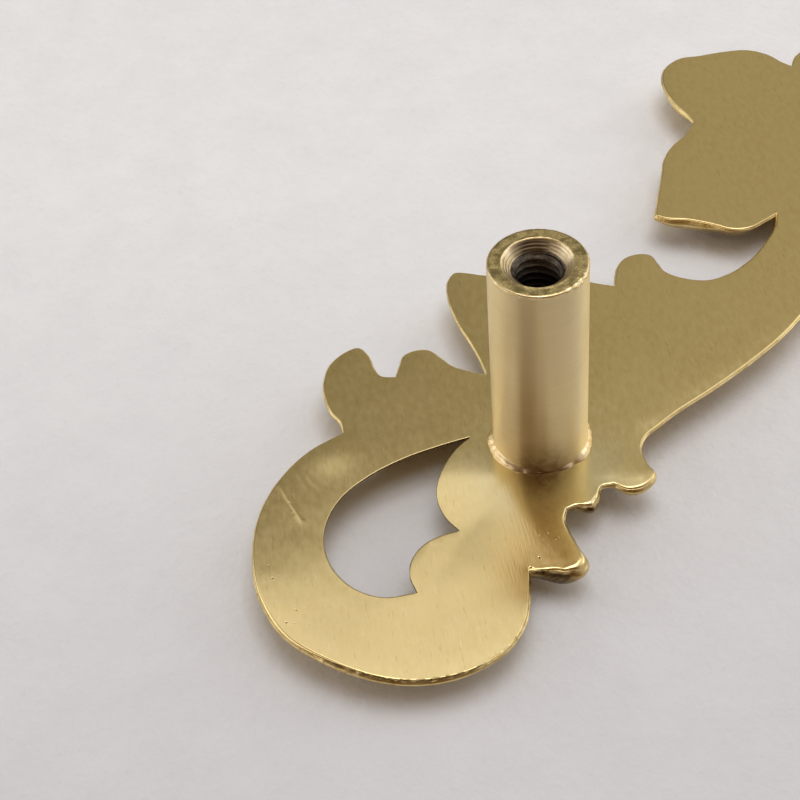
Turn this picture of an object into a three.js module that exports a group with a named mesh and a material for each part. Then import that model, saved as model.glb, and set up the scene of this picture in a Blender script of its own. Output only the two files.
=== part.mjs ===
// A cast brass leaf scroll cabinet knob, lying on its face with its threaded post up.
// Lengths are millimetres and +Z is up.
//
// The knob is built around its post: x and y start at the post's axis, z = 0 is the flat back
// face and the carved front hangs below it. At the end it is moved, so that it stands on z = 0
// at the middle of its outline. The leaf's length runs along X.
import * as THREE from "three";

// Post: a turned pillar with a blind M4 hole in its free end
const POST_DIAMETER = 8;
const POST_LENGTH = 20;
const POST_CHAMFER = 0.2;
const BORE_DIAMETER = 3.3;
const BORE_DEPTH = 16;
const DRILL_TIP_HEIGHT = 1;
const MOUTH_DIAMETER = 5.7;
const MOUTH_FLOOR_DIAMETER = 4.2;
const MOUTH_DEPTH = 0.8;
const RUN_IN_DEPTH = 0.45;
const ROUND_SIDES = 56;

// Braze bead: the ring of filler metal round the post's foot
const BEAD_WIDTH = 0.65;
const BEAD_HEIGHT = 0.55;
const BEAD_HOLLOW = 0.1;

// Leaf: overall size, then thickness at the crown of its stem, between its ribs, and at its edge
const LEAF_LENGTH = 90.6;
const LEAF_WIDTH = 33.5;
const CROWN_THICKNESS = 3.6;
const FIELD_THICKNESS = 2.5;
const EDGE_THICKNESS = 0.35;
const BEVEL_SLOPE = 1.25;
const BLEND = 1;
const STEM_HALF_WIDTH = 2.4;
const RIB_RISE = 0.6;
const RIB_HALF_WIDTH = 1.3;
const GROOVE_DEPTH = 0.9;
const GROOVE_HALF_WIDTH = 1.1;

// How finely the leaf's mesh follows its outline and its carving
const OUTLINE_STEP = 0.85;
const LATTICE_STEP = 1.1;
const RIM_INSET = 0.65;
const LEAST_SPACING = 0.65 * LATTICE_STEP;
const RIM_CLEARANCE = 0.8 * RIM_INSET;
const ROUND_ENOUGH = 1e-9;

// The leaf's plan is drawn around the post's axis with its length at this angle. It is turned and
// stretched to the overall size before use.
const DRAWN_ANGLE = THREE.MathUtils.degToRad(53);
const DRAWN_AXIS = new THREE.Vector2();

// Sharp notches and corners of the outline
const UNDER_FIRST_LOBE = [-16.6, 2.7];
const BULB_NOTCH = [-2.55, -13.8];
const FOOT_LOBE_NOTCH = [1.15, -8.05];
const CURL_NOTCH = [5.4, -5.8];
const LAST_LOBE_NOTCH = [31.9, 48.4];
const FROND_NOTCH = [20.4, 40.6];
const FROND_CORNER = [14.3, 27.1];
const CRESCENT_TIP = [25.6, 25.8];
const FOURTH_LOBE_NOTCH = [9, 17.9];
const THIRD_LOBE_NOTCH = [-3.7, 8];
const SECOND_LOBE_NOTCH = [-11.7, 8.8];
const EYE_NOTCH = [-7.7, -9.05];
const EYE_FOOT = [-11.6, -15];
const EYE_TIP = [-5.8, 0.85];

// Points of the outline where the casting's edge is thicker
const SCROLL_BOTTOM = [-11.5, -23.3];
const BULB_TIP = [0.2, -14.25];
const FOOT_LOBE_EDGE = [3.3, -7.9];
const CURL_EDGE = [7.6, -6.4];
const FROND_UNDERSIDE = [17.2, 26.1];
const FROND_SIDE = [19.1, 43.8];

// Outer outline, counterclockwise: smooth curves, each from one notch or corner to the next
const OUTER_CURVES = [
  // Back of the scroll and round to the bulb
  [UNDER_FIRST_LOBE, [-20, 0.6], [-22.6, -2.6], [-24.1, -6.2], [-24.55, -10], [-24.1, -14.2],
    [-22.2, -18.2], [-19, -20.8], [-15, -22.8], SCROLL_BOTTOM, [-8, -22.7], [-5, -21],
    [-3.3, -18.4], [-2.75, -15.3]],
  // Bulb
  [BULB_NOTCH, [-1.2, -13.95], BULB_TIP, [1.5, -14.15], [2.1, -13.4], [1.5, -11.8],
    [1.05, -10.3], [0.85, -9.2]],
  // Small lobe at the post's foot
  [FOOT_LOBE_NOTCH, [2.2, -7.75], FOOT_LOBE_EDGE, [3.9, -7], [4.3, -6]],
  // Curl, the smooth outer edge and the last lobe
  [CURL_NOTCH, [6.4, -6.45], CURL_EDGE, [8.6, -5.75], [8.95, -5], [8.4, -3.8], [8.2, -2.2],
    [8.8, -0.9], [10, 0.1], [12, 1.65], [15, 3.6], [18.5, 6.1], [22, 8.95], [24.5, 11.5],
    [28, 15.8], [31.4, 21.4], [34.3, 28], [36.7, 35], [38.6, 42], [38.6, 47], [37, 50.3],
    [34.6, 51.2], [32.8, 50.2]],
  // Tip of the frond
  [LAST_LOBE_NOTCH, [31, 49.3], [29.9, 50.7], [28, 51.8], [25.5, 51.9], [22.8, 51.6],
    [20.9, 51.5], [19.3, 50.4], [18.5, 48.6], [18.5, 46.3], FROND_SIDE, [20, 41.8]],
  // Side of the frond
  [FROND_NOTCH, [19.2, 38.8], [17.7, 37.3], [16.6, 35.5], [15.8, 32.6], [15, 29.8]],
  // Underside of the frond, into the crescent gap
  [FROND_CORNER, [15.4, 26.5], FROND_UNDERSIDE, [19.4, 25.1], [21, 24.2], [22.6, 24.1], [24.2, 24.9]],
  // Lower side of the crescent gap and the fourth lobe
  [CRESCENT_TIP, [25.1, 24], [23.6, 21.7], [22, 19.9], [19.8, 18.3], [17.5, 17.6], [15.3, 18.2],
    [13.8, 19.3], [13.3, 20.6], [12.9, 21.6], [11.7, 21.9], [10.5, 21.5], [9.7, 20.5],
    [9.3, 19.3]],
  // Third lobe, behind the post
  [FOURTH_LOBE_NOTCH, [7.1, 18.6], [4.5, 19.8], [1, 20.5], [-2.5, 20.9], [-4.4, 21.5],
    [-5.4, 21.6], [-6.1, 20.5], [-6.25, 18.7], [-6, 16.5], [-5.5, 14.4], [-4.8, 12.4],
    [-4.2, 10.4]],
  // Second lobe
  [THIRD_LOBE_NOTCH, [-5, 8.6], [-6.6, 9.5], [-7.7, 10.8], [-8.6, 11.8], [-9.7, 11.9],
    [-10.8, 11.4], [-11.2, 10.3]],
  // First lobe
  [SECOND_LOBE_NOTCH, [-13, 9.1], [-13.6, 10.2], [-14, 11.8], [-14.8, 12.9], [-16, 12.5],
    [-17.4, 11.1], [-18.05, 9], [-18, 7], [-17.5, 5.1], [-16.8, 3.9]],
];

// The scroll's eye, clockwise: the bulb's side, the long side and the throat
const EYE_CURVES = [
  [EYE_NOTCH, [-9.2, -9.4], [-10.7, -10.2], [-11.75, -11.6], [-12.05, -13.3]],
  [EYE_FOOT, [-14.3, -15.25], [-16.5, -14.2], [-18.1, -12.1], [-18.75, -9.5], [-18.4, -7],
    [-17, -4.5], [-14.5, -2.4], [-11.5, -0.85], [-8.5, 0.15]],
  [EYE_TIP, [-7, -0.2], [-8.1, -1.7], [-9, -3.7], [-9.25, -5.6], [-8.7, -7.6]],
];

// Raised stem on the front: from the bulb's middle, round the scroll and on to the far tip
const STEM = [[-7.3, -16.2], [-9, -19], [-13, -19.6], [-18, -17], [-21.3, -12.8], [-21.6, -8.2],
  [-19.8, -3.4], [-15.8, 0], [-10, 2.8], [-4, 3.8], [3, 3.6], [9, 4.9], [14, 7.8], [20, 12],
  [26, 17.8], [30.2, 25], [33, 33], [34.9, 41.5], [35.2, 46]];

// Raised ribs on the front, each from the stem to near the tip of its lobe
const RIBS = [
  [[-12, 2.2], [-14.4, 6], [-16, 10.3]],
  [[-7, 3.4], [-8.6, 7], [-9.5, 10.2]],
  [[-2, 3.9], [-3, 11], [-4.6, 19.4]],
  [[3.4, 3.7], [3.4, 11], [3.6, 17.6]],
  [[8.6, 4.9], [11, 12], [11.6, 19.8]],
  [[14, 7.8], [16.4, 11.6], [17.6, 15.4]],
  [[5, 3.8], [6, 0.4], [7.4, -4.6]],
  [[-4, 3.8], [-5.4, -3], [-4.4, -9.4], [0, -12.8]],
  [[30.8, 26.6], [24.5, 30], [17, 29]],
  [[31.6, 29], [25.6, 34], [18.4, 34.6]],
  [[32.4, 31.4], [25.8, 38.6], [20.6, 46.4]],
  [[33, 33], [28, 42], [24, 49.6]],
  [[33.8, 36], [30.8, 43], [28.6, 49.6]],
];

// Grooves on the front, each from a notch of the outline towards the stem
const GROOVES = [
  [SECOND_LOBE_NOTCH, [-11, 6.4], [-9.4, 4.6]],
  [THIRD_LOBE_NOTCH, [-4.6, 6.6], [-5, 5.6]],
  [[0.4, 20.6], [0.4, 13], [0.8, 6.4]],
  [FOURTH_LOBE_NOTCH, [7.6, 12], [6.2, 6.6]],
  [[14.6, 18.6], [13.4, 14], [11.6, 9]],
  [FROND_NOTCH, [25, 36.6], [30, 31.6]],
  [FROND_CORNER, [20, 27.6], [26, 27.6]],
  [LAST_LOBE_NOTCH, [32, 44.4], [32, 40]],
  [EYE_NOTCH, [-5.6, -10.6], BULB_NOTCH],
];

// How thick the casting's edge is at those points, and how far that reaches along it
const THICK_EDGES = [
  { at: SCROLL_BOTTOM, reach: 6, thickness: 0.5 },
  { at: BULB_TIP, reach: 2.8, thickness: 1.9 },
  { at: FOOT_LOBE_EDGE, reach: 1.6, thickness: 1.1 },
  { at: CURL_EDGE, reach: 2.2, thickness: 1 },
  { at: FROND_UNDERSIDE, reach: 3.2, thickness: 1.2 },
  { at: FROND_SIDE, reach: 2.6, thickness: 0.9 },
];

const flatVector = (p) => new THREE.Vector3(p.x, p.y, 0);

// Points along a smooth curve through the given ones, about one step apart, both ends included
function alongCurve(through, step) {
  const curve = new THREE.CatmullRomCurve3(through.map(flatVector), false, "centripetal");
  const count = Math.max(2, Math.round(curve.getLength() / step));
  return curve.getSpacedPoints(count).map((p) => new THREE.Vector2(p.x, p.y));
}

function closedLoop(curves, step) {
  return curves.flatMap((curve, i) => {
    const nextCorner = curves[(i + 1) % curves.length][0];
    return alongCurve([...curve, nextCorner], step).slice(0, -1);
  });
}

const segmentsOf = (points) => points.slice(1).map(
  (end, i) => new THREE.Line3(flatVector(points[i]), flatVector(end)));

// Distance from a point to the nearest of the given segments
function distanceTo(segments, point) {
  const from = flatVector(point);
  const nearest = new THREE.Vector3();
  let least = Infinity;
  for (const segment of segments) {
    segment.closestPointToPoint(from, true, nearest);
    least = Math.min(least, from.distanceToSquared(nearest));
  }
  return Math.sqrt(least);
}

const hump = (distance, halfWidth) => Math.exp(-((distance / halfWidth) ** 2));

// The smaller of two values, rounded over where they cross
function smoothMin(a, b, blend) {
  const overlap = Math.max(blend - Math.abs(a - b), 0) / blend;
  return Math.min(a, b) - (overlap ** 2 * blend) / 4;
}

// Turns a drawn point to the leaf's length, and stretches it to the leaf's overall size
const turnDrawn = ([x, y]) => new THREE.Vector2(x, y).rotateAround(DRAWN_AXIS, -DRAWN_ANGLE);
const drawnOutline = closedLoop(OUTER_CURVES.map((curve) => curve.map(turnDrawn)), OUTLINE_STEP);
const drawnSize = new THREE.Box2().setFromPoints(drawnOutline).getSize(new THREE.Vector2());
const stretch = new THREE.Vector2(LEAF_LENGTH, LEAF_WIDTH).divide(drawnSize);
const place = (point) => turnDrawn(point).multiply(stretch);

const placeCurves = (curves) => curves.map((curve) => curve.map(place));
const outerLoop = closedLoop(placeCurves(OUTER_CURVES), OUTLINE_STEP);
const eyeLoop = closedLoop(placeCurves(EYE_CURVES), OUTLINE_STEP);
const outlineSegments = [outerLoop, eyeLoop].flatMap((loop) => segmentsOf([...loop, loop[0]]));
const stemPoints = alongCurve(STEM.map(place), LATTICE_STEP);
const ribPoints = placeCurves(RIBS).map((rib) => alongCurve(rib, LATTICE_STEP));
const groovePoints = placeCurves(GROOVES).map((groove) => alongCurve(groove, LATTICE_STEP));
const stemSegments = segmentsOf(stemPoints);
const ribSegments = ribPoints.flatMap(segmentsOf);
const grooveSegments = groovePoints.flatMap(segmentsOf);

function edgeThickness(point) {
  return THICK_EDGES.reduce((sum, { at, reach, thickness }) => {
    const away = point.distanceTo(place(at));
    return sum + (thickness - EDGE_THICKNESS) * hump(away, reach);
  }, EDGE_THICKNESS);
}

// Thickness of the leaf at a point: the carved front, bevelled off towards the outline
function thicknessAt(point) {
  const fromOutline = distanceTo(outlineSegments, point);
  const stem = hump(distanceTo(stemSegments, point), STEM_HALF_WIDTH);
  const rib = hump(distanceTo(ribSegments, point), RIB_HALF_WIDTH);
  const groove = hump(distanceTo(grooveSegments, point), GROOVE_HALF_WIDTH);
  const carving = (RIB_RISE * rib - GROOVE_DEPTH * groove) * (1 - stem);
  const front = FIELD_THICKNESS + (CROWN_THICKNESS - FIELD_THICKNESS) * stem + carving;
  return smoothMin(edgeThickness(point) + BEVEL_SLOPE * fromOutline, front, BLEND);
}

// Twice the signed area of the triangle a, b, c
const area2 = (a, b, c) => (b.x - a.x) * (c.y - a.y) - (b.y - a.y) * (c.x - a.x);

// Above zero if d lies inside the circle through a, b and c
function insideCircle(a, b, c, d) {
  const [p, q, r] = [a, b, c].map((v) => [v.x - d.x, v.y - d.y, (v.x - d.x) ** 2 + (v.y - d.y) ** 2]);
  return p[0] * (q[1] * r[2] - q[2] * r[1]) - p[1] * (q[0] * r[2] - q[2] * r[0])
    + p[2] * (q[0] * r[1] - q[1] * r[0]);
}

// Even triangles over the leaf's plan that keep its outline. The plan is held as a map from
// each directed edge of a counterclockwise triangle to that triangle's third corner.
function triangulatePlan(outer, hole, inner) {
  const points = [...outer, ...hole, ...inner];
  const corner = new Map();
  const key = (a, b) => a * points.length + b;
  const turns = (a, b, c) => [[a, b, c], [b, c, a], [c, a, b]];
  const add = (a, b, c) => turns(a, b, c).forEach(([i, j, k]) => corner.set(key(i, j), k));
  const remove = (a, b, c) => turns(a, b, c).forEach(([i, j]) => corner.delete(key(i, j)));

  // Swaps the edge a, b of a triangle for the other diagonal where that gives rounder triangles
  function settle(a, b, c) {
    const d = corner.get(key(b, a));
    if (d === undefined || insideCircle(...[a, b, c, d].map((i) => points[i])) < ROUND_ENOUGH) {
      return;
    }
    remove(a, b, c);
    remove(b, a, d);
    add(a, d, c);
    add(d, b, c);
    settle(a, d, c);
    settle(d, b, c);
  }

  for (const [a, b, c] of THREE.ShapeUtils.triangulateShape([...outer], [[...hole]])) {
    if (area2(points[a], points[b], points[c]) > 0) add(a, b, c);
    else add(a, c, b);
  }
  for (const [edge, c] of [...corner]) {
    const [a, b] = [Math.floor(edge / points.length), edge % points.length];
    if (corner.get(edge) === c) settle(a, b, c);
  }
  for (let p = outer.length + hole.length; p < points.length; p += 1) {
    for (const [edge, c] of corner) {
      const [a, b] = [Math.floor(edge / points.length), edge % points.length];
      const inside = turns(a, b, c).every(([i, j]) => area2(points[i], points[j], points[p]) > 0);
      if (!inside) continue;
      remove(a, b, c);
      turns(a, b, c).forEach(([i, j]) => add(i, j, p));
      turns(a, b, c).forEach(([i, j]) => settle(i, j, p));
      break;
    }
  }
  const faces = [];
  for (const [edge, c] of corner) {
    const [a, b] = [Math.floor(edge / points.length), edge % points.length];
    if (a < b && a < c) faces.push([a, b, c]);
  }
  return faces;
}

// Points for the carved front: along its stem, ribs and grooves, a row inside the outline, and
// an even lattice over the rest
function frontPoints() {
  const lattice = [];
  const box = new THREE.Box2().setFromPoints(outerLoop);
  const rowHeight = LATTICE_STEP * Math.sin(Math.PI / 3);
  const rows = Math.ceil((box.max.y - box.min.y) / rowHeight);
  const columns = Math.ceil((box.max.x - box.min.x) / LATTICE_STEP);
  for (let row = 0; row <= rows; row += 1) {
    for (let column = 0; column <= columns; column += 1) {
      const x = box.min.x + (column + (row % 2) / 2) * LATTICE_STEP;
      lattice.push(new THREE.Vector2(x, box.min.y + row * rowHeight));
    }
  }
  const rim = [outerLoop, eyeLoop].flatMap((loop) => loop.map((point, i) => {
    const before = loop[(i + loop.length - 1) % loop.length];
    const along = loop[(i + 1) % loop.length].clone().sub(before).normalize();
    return new THREE.Vector2(point.x - along.y * RIM_INSET, point.y + along.x * RIM_INSET);
  }));
  const chosen = [];
  const choose = (candidates, clearance) => {
    for (const point of candidates) {
      if (!insideLoop(outerLoop, point) || insideLoop(eyeLoop, point)) continue;
      if (distanceTo(outlineSegments, point) < clearance) continue;
      if (chosen.every((other) => other.distanceTo(point) >= LEAST_SPACING)) chosen.push(point);
    }
  };
  choose([...stemPoints, ...ribPoints.flat(), ...groovePoints.flat()], RIM_INSET);
  choose(rim, RIM_CLEARANCE);
  choose(lattice, RIM_INSET + LATTICE_STEP / 2);
  return chosen;
}

function insideLoop(loop, point) {
  let inside = false;
  loop.forEach((a, i) => {
    const b = loop[(i + 1) % loop.length];
    if ((a.y > point.y) === (b.y > point.y)) return;
    if (point.x < a.x + ((b.x - a.x) * (point.y - a.y)) / (b.y - a.y)) inside = !inside;
  });
  return inside;
}

// The casting: a flat back, a thin upright edge and the carved front
function leafGeometry() {
  const outline = [...outerLoop, ...eyeLoop];
  const inner = frontPoints();
  const front = [...outline, ...inner];
  const positions = [];
  outline.forEach((p) => positions.push(p.x, p.y, 0));
  front.forEach((p, i) => {
    const onOutline = i < outline.length;
    positions.push(p.x, p.y, -(onOutline ? edgeThickness(p) : thicknessAt(p)));
  });
  const index = triangulatePlan(outerLoop, eyeLoop, []).flat();
  for (const face of triangulatePlan(outerLoop, eyeLoop, inner)) {
    const [a, b, c] = face.map((i) => i + outline.length);
    index.push(a, c, b);
  }
  let start = 0;
  for (const loop of [outerLoop, eyeLoop]) {
    for (let i = 0; i < loop.length; i += 1) {
      const [top, nextTop] = [start + i, start + ((i + 1) % loop.length)];
      const [low, nextLow] = [top + outline.length, nextTop + outline.length];
      index.push(low, nextLow, nextTop, low, nextTop, top);
    }
    start += loop.length;
  }
  const geometry = new THREE.BufferGeometry();
  geometry.setAttribute("position", new THREE.Float32BufferAttribute(positions, 3));
  geometry.setIndex(index);
  geometry.computeVertexNormals();
  return geometry;
}

// A solid turned about Z from a profile of [radius, height] points
function turned(profile) {
  const points = profile.map(([radius, height]) => new THREE.Vector2(radius, height));
  return new THREE.LatheGeometry(points, ROUND_SIDES).rotateX(Math.PI / 2);
}

function postGeometry() {
  const radius = POST_DIAMETER / 2;
  const boreRadius = BORE_DIAMETER / 2;
  const boreFloor = POST_LENGTH - BORE_DEPTH;
  return turned([
    [0, 0],
    [radius, 0],
    [radius, POST_LENGTH - POST_CHAMFER],
    [radius - POST_CHAMFER, POST_LENGTH],
    [MOUTH_DIAMETER / 2, POST_LENGTH],
    [MOUTH_FLOOR_DIAMETER / 2, POST_LENGTH - MOUTH_DEPTH],
    [boreRadius, POST_LENGTH - MOUTH_DEPTH - RUN_IN_DEPTH],
    [boreRadius, boreFloor],
    [0, boreFloor - DRILL_TIP_HEIGHT],
  ]);
}

function beadGeometry() {
  const radius = POST_DIAMETER / 2;
  return turned([
    [radius, 0],
    [radius + BEAD_WIDTH, 0],
    [radius + BEAD_WIDTH / 2 - BEAD_HOLLOW, BEAD_HEIGHT / 2 - BEAD_HOLLOW],
    [radius, BEAD_HEIGHT],
    [radius, 0],
  ]);
}

function part(name, geometry, color, roughness) {
  const material = new THREE.MeshStandardMaterial({ color, roughness, metalness: 1 });
  const mesh = new THREE.Mesh(geometry, material);
  mesh.name = name;
  return mesh;
}

const leaf = leafGeometry();
const knob = new THREE.Group();
knob.add(part("leaf_casting", leaf, 0xb89b5e, 0.35));
knob.add(part("threaded_post", postGeometry(), 0xb59a6c, 0.3));
knob.add(part("braze_bead", beadGeometry(), 0xd9bd9a, 0.25));

// The middle of the outline goes to the origin, and the front's crown to z = 0
const middle = new THREE.Box2().setFromPoints(outerLoop).getCenter(new THREE.Vector2());
leaf.computeBoundingBox();
knob.position.set(-middle.x, -middle.y, -leaf.boundingBox.min.z);

export default knob;
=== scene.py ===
"""Looks of a cast brass leaf scroll cabinet knob, lying on its carved face with its post up.

Every plan is drawn in millimetres around the post's axis, as the photograph shows it: x to the
right, y away from the camera, z up from the leaf's flat back. to_frame() turns it into the frame.
"""

import math

import bpy
import numpy as np
from mathutils import Matrix, Vector, noise
from mathutils.geometry import delaunay_2d_cdt


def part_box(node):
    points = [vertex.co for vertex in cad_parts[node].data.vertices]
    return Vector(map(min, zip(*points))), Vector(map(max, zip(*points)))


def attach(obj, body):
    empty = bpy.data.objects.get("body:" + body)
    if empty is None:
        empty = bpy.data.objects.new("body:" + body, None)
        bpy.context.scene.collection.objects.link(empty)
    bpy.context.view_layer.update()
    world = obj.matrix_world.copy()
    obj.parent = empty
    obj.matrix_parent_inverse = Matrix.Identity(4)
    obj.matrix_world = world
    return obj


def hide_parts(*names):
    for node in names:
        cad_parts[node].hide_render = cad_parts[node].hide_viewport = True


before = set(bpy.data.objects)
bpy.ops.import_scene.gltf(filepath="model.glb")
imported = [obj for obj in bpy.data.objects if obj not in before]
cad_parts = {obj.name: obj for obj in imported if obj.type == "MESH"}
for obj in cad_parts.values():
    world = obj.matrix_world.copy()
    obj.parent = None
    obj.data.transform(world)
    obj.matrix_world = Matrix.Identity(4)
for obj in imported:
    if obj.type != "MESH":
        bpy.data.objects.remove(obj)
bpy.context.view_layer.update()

MM = 0.001
DRAWN_ANGLE = math.radians(53)

# Leaf: thickness over its carving, as in the solids
CROWN_THICKNESS = 3.6
FIELD_THICKNESS = 2.5
EDGE_THICKNESS = 0.35
EYE_EDGE_THICKNESS = 0.16
BEVEL_SLOPE = 1.25
EYE_SLOPE = 0.85
BLEND = 1.0
STEM_HALF_WIDTH = 2.4
RIB_RISE = 0.6
RIB_HALF_WIDTH = 1.3
GROOVE_DEPTH = 0.9
GROOVE_HALF_WIDTH = 1.1

# Leaf: detail of its carving that only this model has
VEIN_FROM_RIB = 1.15
VEIN_FROM_STEM = 2.6
VEIN_DEPTH = 0.22
SKIN_SIZE = 0.9
SKIN_HEIGHT = 0.03

# Leaf: how finely its mesh follows its outline, its back and its front, and how far inside the
# outline the front has its first two rows and then its lattice
RIM_STEP = 0.28
BACK_STEP = 0.5
FRONT_STEP = 0.32
FRONT_ROWS = (0.12, 0.32)
FRONT_INSET = 0.55

# Leaf: radius of its back's edge and how much less that is in the eye, the degrees that each row
# of the roll has turned, and the share of the way down the side of each row below
WORN = 0.07
EYE_SHARPER = 0.03
ROLL_TURNS = (22, 40, 56, 70, 82)
SIDE_SHARES = (0, 0.08, 0.16, 0.24, 0.34, 0.46, 0.6, 0.74, 0.87, 1.0)

# Post and braze bead
POST_RADIUS = 4.0
POST_LENGTH = 20.0
POST_CHAMFER = 0.16
BORE_DEPTH = 16.0
CORE_RADIUS = 1.65
ROOT_RADIUS = 2.02
PITCH = 0.7
MOUTH_RADIUS = 2.85
MOUTH_FLOOR_RADIUS = 2.12
MOUTH_DEPTH = 0.75
MOUTH_RIDGE = 0.2
MOUTH_ROWS = 24
# Rubbed width of the mouth's edge, and its depth
MOUTH_RUB = 0.06
MOUTH_RUB_DEPTH = 0.1
# Thread: rows for each turn, height of its run-out and of its lead-in, and the shares of half a
# turn that its crest and its flank take
THREAD_ROWS = 9
THREAD_RUNOUT = 1.5
THREAD_LEAD = 0.5
THREAD_CREST = 0.12
THREAD_FLANK = 0.78
DRILL_TIP = 1
POST_SIDES = 208
POST_ROWS = (0.15, 0.6, 1.1, 1.6, 2.2, 3, 4, 8, 12, 16, 18.6, 19.3)
# The burr on the rim, to the front and right: azimuth and reach in degrees
BURR = (-45, 20)
# Painted brown shade at the front of the post's foot, standing for a dark reflection there:
# azimuth, reach in degrees, height
FOOT_PAINTED_SHADE = (-93, 33, 2.8)
# Painted brown shade on the far side of the mouth, the wall that faces the camera: azimuth and
# reach in degrees
MOUTH_PAINTED_SHADE = (95, 42)
THREAD_TOP = POST_LENGTH - MOUTH_DEPTH
THREAD_SHADE_DEPTH = 2.4
BEAD_SIDES = 160
BEAD_SHARES = (0.0, 0.1, 0.25, 0.4, 0.55, 0.7, 0.85, 0.95, 1.0)
# Width and height of the braze bead where it is thin, and what they gain where it is full
BEAD_THIN = (0.22, 0.26)
BEAD_GAIN = (0.32, 0.34)
# Where the braze bead is fuller: azimuth, reach in degrees, share
BEAD_FULLNESS = [(206, 32, 1), (324, 24, 0.85), (60, 40, 0.6)]

# Sharp notches and corners of the outline
UNDER_FIRST_LOBE = (-16.6, 2.7)
BULB_NOTCH = (-2.55, -13.8)
FOOT_LOBE_NOTCH = (1.15, -8.05)
CURL_NOTCH = (5.4, -5.8)
LAST_LOBE_NOTCH = (31.9, 48.4)
FROND_NOTCH = (20.4, 40.6)
FROND_CORNER = (14.3, 27.1)
CRESCENT_TIP = (25.6, 25.8)
FOURTH_LOBE_NOTCH = (9, 17.9)
THIRD_LOBE_NOTCH = (-3.7, 8)
SECOND_LOBE_NOTCH = (-11.7, 8.8)
EYE_NOTCH = (-7.7, -9.05)
EYE_FOOT = (-11.6, -15)
EYE_TIP = (-5.8, 0.85)

# Points of the outline where the casting's edge is thicker
SCROLL_BOTTOM = (-11.5, -23.3)
BULB_TIP = (0.2, -14.25)
FOOT_LOBE_EDGE = (3.3, -7.9)
CURL_EDGE = (7.6, -6.4)
FROND_UNDERSIDE = (17.2, 26.1)
FROND_SIDE = (19.1, 43.8)

OUTER_CURVES = [
    # Back of the scroll and round to the bulb
    [UNDER_FIRST_LOBE, (-20, 0.6), (-22.6, -2.6), (-24.1, -6.2), (-24.55, -10), (-24.1, -14.2),
     (-22.2, -18.2), (-19, -20.8), (-15, -22.8), SCROLL_BOTTOM, (-8, -22.7), (-5, -21),
     (-3.3, -18.4), (-2.75, -15.3)],
    # Bulb
    [BULB_NOTCH, (-1.2, -13.95), BULB_TIP, (1.5, -14.15), (2.1, -13.4), (1.5, -11.8),
     (1.05, -10.3), (0.85, -9.2)],
    # Small lobe at the post's foot
    [FOOT_LOBE_NOTCH, (2.2, -7.75), FOOT_LOBE_EDGE, (3.9, -7), (4.3, -6)],
    # Curl, the smooth outer edge and the last lobe
    [CURL_NOTCH, (6.4, -6.45), CURL_EDGE, (8.6, -5.75), (8.95, -5), (8.4, -3.8), (8.2, -2.2),
     (8.8, -0.9), (10, 0.1), (12, 1.65), (15, 3.6), (18.5, 6.1), (22, 8.95), (24.5, 11.5),
     (28, 15.8), (31.4, 21.4), (34.3, 28), (36.7, 35), (38.6, 42), (38.6, 47), (37, 50.3),
     (34.6, 51.2), (32.8, 50.2)],
    # Tip of the frond
    [LAST_LOBE_NOTCH, (31, 49.3), (29.9, 50.7), (28, 51.8), (25.5, 51.9), (22.8, 51.6),
     (20.9, 51.5), (19.3, 50.4), (18.5, 48.6), (18.5, 46.3), FROND_SIDE, (20, 41.8)],
    # Side of the frond
    [FROND_NOTCH, (19.2, 38.8), (17.7, 37.3), (16.6, 35.5), (15.8, 32.6), (15, 29.8)],
    # Underside of the frond, into the crescent gap
    [FROND_CORNER, (15.4, 26.5), FROND_UNDERSIDE, (19.4, 25.1), (21, 24.2), (22.6, 24.1),
     (24.2, 24.9)],
    # Lower side of the crescent gap and the fourth lobe
    [CRESCENT_TIP, (25.1, 24), (23.6, 21.7), (22, 19.9), (19.8, 18.3), (17.5, 17.6), (15.3, 18.2),
     (13.8, 19.3), (13.3, 20.6), (12.9, 21.6), (11.7, 21.9), (10.5, 21.5), (9.7, 20.5),
     (9.3, 19.3)],
    # Third lobe, behind the post
    [FOURTH_LOBE_NOTCH, (7.1, 18.6), (4.5, 19.8), (1, 20.5), (-2.5, 20.9), (-4.4, 21.5),
     (-5.4, 21.6), (-6.1, 20.5), (-6.25, 18.7), (-6, 16.5), (-5.5, 14.4), (-4.8, 12.4),
     (-4.2, 10.4)],
    # Second lobe
    [THIRD_LOBE_NOTCH, (-5, 8.6), (-6.6, 9.5), (-7.7, 10.8), (-8.6, 11.8), (-9.7, 11.9),
     (-10.8, 11.4), (-11.2, 10.3)],
    # First lobe
    [SECOND_LOBE_NOTCH, (-13, 9.1), (-13.6, 10.2), (-14, 11.8), (-14.8, 12.9), (-16, 12.5),
     (-17.4, 11.1), (-18.05, 9), (-18, 7), (-17.5, 5.1), (-16.8, 3.9)],
]

EYE_CURVES = [
    [EYE_NOTCH, (-9.2, -9.4), (-10.7, -10.2), (-11.75, -11.6), (-12.05, -13.3)],
    [EYE_FOOT, (-14.3, -15.25), (-16.5, -14.2), (-18.1, -12.1), (-18.75, -9.5), (-18.4, -7),
     (-17, -4.5), (-14.5, -2.4), (-11.5, -0.85), (-8.5, 0.15)],
    [EYE_TIP, (-7, -0.2), (-8.1, -1.7), (-9, -3.7), (-9.25, -5.6), (-8.7, -7.6)],
]

STEM = [(-7.3, -16.2), (-9, -19), (-13, -19.6), (-18, -17), (-21.3, -12.8), (-21.6, -8.2),
        (-19.8, -3.4), (-15.8, 0), (-10, 2.8), (-4, 3.8), (3, 3.6), (9, 4.9), (14, 7.8), (20, 12),
        (26, 17.8), (30.2, 25), (33, 33), (34.9, 41.5), (35.2, 46)]

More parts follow.
